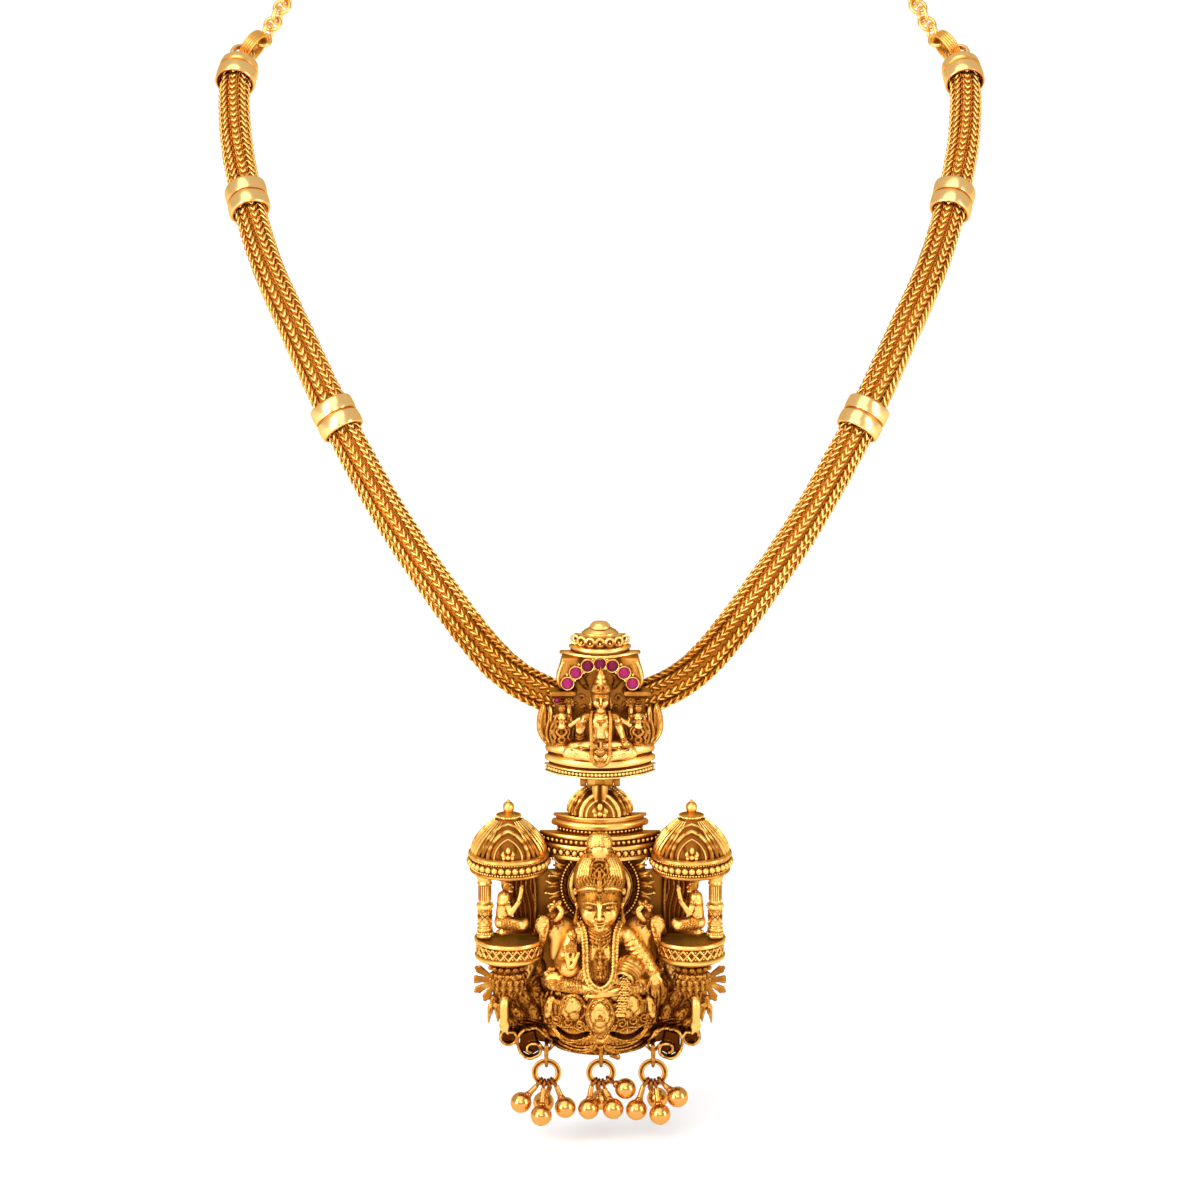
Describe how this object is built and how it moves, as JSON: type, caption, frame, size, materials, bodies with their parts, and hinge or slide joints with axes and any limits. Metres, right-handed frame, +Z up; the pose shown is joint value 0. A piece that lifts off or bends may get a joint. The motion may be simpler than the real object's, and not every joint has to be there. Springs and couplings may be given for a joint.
{
  "type": "temple jewellery necklace",
  "caption": "Woven gold bundle necklace with collars, a shrine pendant with an arch of rubies, and a large relief pendant hinged below it with hanging balls.",
  "frame": {"origin": "middle of the loop at the nape, where the back of the neck holds it", "axes": "+Z up, -Y is the front that the pendants face, +X is the viewer's right"},
  "size_m": [0.1536, 0.1358, 0.2152],
  "materials": {
    "antique_gold": "satin antique gold, darkened in the recesses",
    "polished_gold": "bright polished gold",
    "oxidised_gold": "satin oxidised gold",
    "rose_gold": "polished rosy gold",
    "ruby": "polished cut stone"
  },
  "bodies": {
    "necklace": {"bundle_front": "antique_gold", "bundle_middle_left": "antique_gold", "bundle_middle_right": "antique_gold", "bundle_rear_left": "antique_gold", "bundle_rear_right": "antique_gold", "collar_lower_left": "polished_gold", "collar_lower_right": "polished_gold", "collar_upper_left": "polished_gold", "collar_upper_right": "polished_gold", "end_cap_left": "polished_gold", "end_cap_right": "polished_gold", "grooved_ring_left": "antique_gold", "grooved_ring_right": "antique_gold", "back_chain_left": "antique_gold", "back_chain_right": "antique_gold", "clasp_hook": "antique_gold", "shrine_base": "antique_gold", "shrine_canopy": "antique_gold", "upper_deity": "antique_gold", "shrine_figure_left": "antique_gold", "shrine_figure_right": "antique_gold", "lotus_leaf_left": "antique_gold", "lotus_leaf_right": "antique_gold", "ruby_1": "ruby", "ruby_2": "ruby", "ruby_3": "ruby", "ruby_4": "ruby", "ruby_5": "ruby", "ruby_6": "ruby", "ruby_7": "ruby", "pink_stone": "ruby"},
    "pendant": {"back_plate": "oxidised_gold", "crown_dome": "antique_gold", "crown_tiers": "antique_gold", "pavilion_roof_left": "antique_gold", "pavilion_roof_right": "antique_gold", "pillar_left": "antique_gold", "pillar_right": "antique_gold", "balcony_left": "antique_gold", "balcony_right": "antique_gold", "attendant_left": "antique_gold", "attendant_right": "antique_gold", "peacock_left": "antique_gold", "peacock_right": "antique_gold", "halo": "antique_gold", "main_deity": "antique_gold", "lotus_seat": "antique_gold", "elephant_left": "antique_gold", "elephant_right": "antique_gold", "coin_pot": "antique_gold", "jump_ring_left": "antique_gold", "jump_ring_middle": "antique_gold", "jump_ring_right": "antique_gold", "ball_group_left": "rose_gold", "ball_group_middle": "rose_gold", "ball_group_right": "rose_gold"}
  },
  "joints": [
    {"name": "pendant_swing", "type": "hinge", "parent": "necklace", "child": "pendant", "pos_m": [0, -0.124, -0.144], "axis": [1, 0, 0], "range_deg": [-30, 30]}
  ]
}
